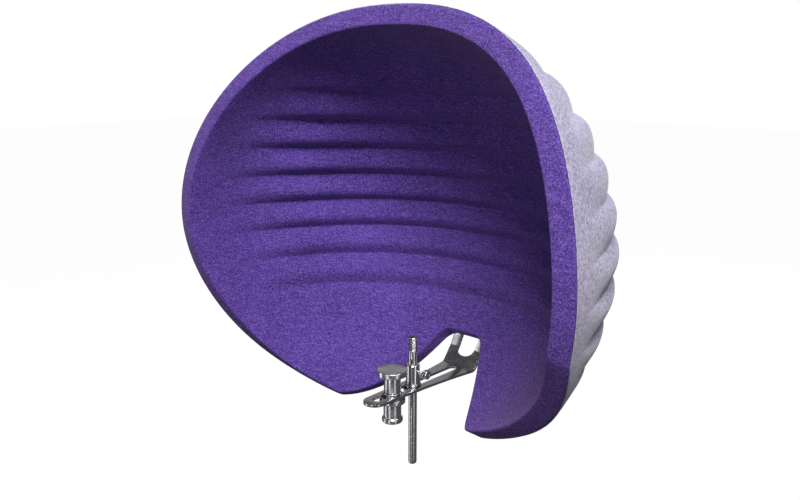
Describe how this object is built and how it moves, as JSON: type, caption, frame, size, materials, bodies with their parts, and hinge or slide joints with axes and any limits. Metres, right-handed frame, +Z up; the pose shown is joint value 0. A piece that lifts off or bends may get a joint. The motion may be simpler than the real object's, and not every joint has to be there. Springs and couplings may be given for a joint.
{
  "type": "microphone reflection filter",
  "caption": "Ribbed moulded-felt dome on a slotted steel arm that clamps to a microphone stand, with a sliding post for the microphone.",
  "frame": {"origin": "centre of the stand adapter's bottom face, on the adapter's axis, where the stand's thread enters", "axes": "+Z up along the stand's axis, -Y out of the dome's mouth towards the speaker, +X to the right seen from the speaker"},
  "size_m": [0.541, 0.2777, 0.5086],
  "materials": {
    "purple_felt": "pressed fibre felt, matt with a soft nap",
    "grey_felt": "speckled pressed fibre felt, matt",
    "bright_steel": "bright, finely brushed",
    "plated_steel": "satin plated"
  },
  "bodies": {
    "stand": {"stand_adapter": "bright_steel", "clamp_stud": "plated_steel"},
    "swivel": {"slot_guide": "plated_steel"},
    "shell": {"support_arm": "bright_steel", "inner_liner": "purple_felt", "outer_skin": "grey_felt", "backing_plate": "plated_steel", "weld_nut_left": "plated_steel", "weld_nut_right": "plated_steel", "arm_washer_left": "bright_steel", "arm_washer_right": "bright_steel", "arm_bolt_left": "bright_steel", "arm_bolt_right": "bright_steel"},
    "knob_lifter": {"knob_washer": "bright_steel"},
    "knob": {"clamp_knob": "bright_steel"},
    "collar": {"post_collar": "bright_steel", "collar_nut": "plated_steel"},
    "post": {"mic_post": "bright_steel"},
    "thumb": {"thumb_screw": "bright_steel"}
  },
  "joints": [
    {"name": "arm_swivel", "type": "hinge", "parent": "stand", "child": "swivel", "pos_m": [0, 0, 0.03], "axis": [0, 0, 1], "continuous": true},
    {"name": "arm_slide", "type": "slide", "parent": "swivel", "child": "shell", "axis": [0, 1, 0], "range_m": [-0.0065, 0.02]},
    {"name": "knob_lift", "type": "slide", "parent": "stand", "child": "knob_lifter", "axis": [0, 0, 1], "range_m": [0, 0.0025]},
    {"name": "knob_turn", "type": "hinge", "parent": "knob_lifter", "child": "knob", "pos_m": [0, 0, 0.045], "axis": [0, 0, 1], "range_deg": [0, 720]},
    {"name": "collar_slide", "type": "slide", "parent": "shell", "child": "collar", "axis": [0, 1, 0], "range_m": [0, 0.06]},
    {"name": "post_slide", "type": "slide", "parent": "collar", "child": "post", "axis": [0, 0, 1], "range_m": [-0.015, 0.08]},
    {"name": "thumb_screw_turn", "type": "hinge", "parent": "collar", "child": "thumb", "pos_m": [0, 0.0337, 0.05], "axis": [1, 0, 0], "range_deg": [0, 720]}
  ],
  "couplings": [
    {"joint": "knob_turn", "follows": "knob_lift", "rad_per_m": 5026.5}
  ]
}
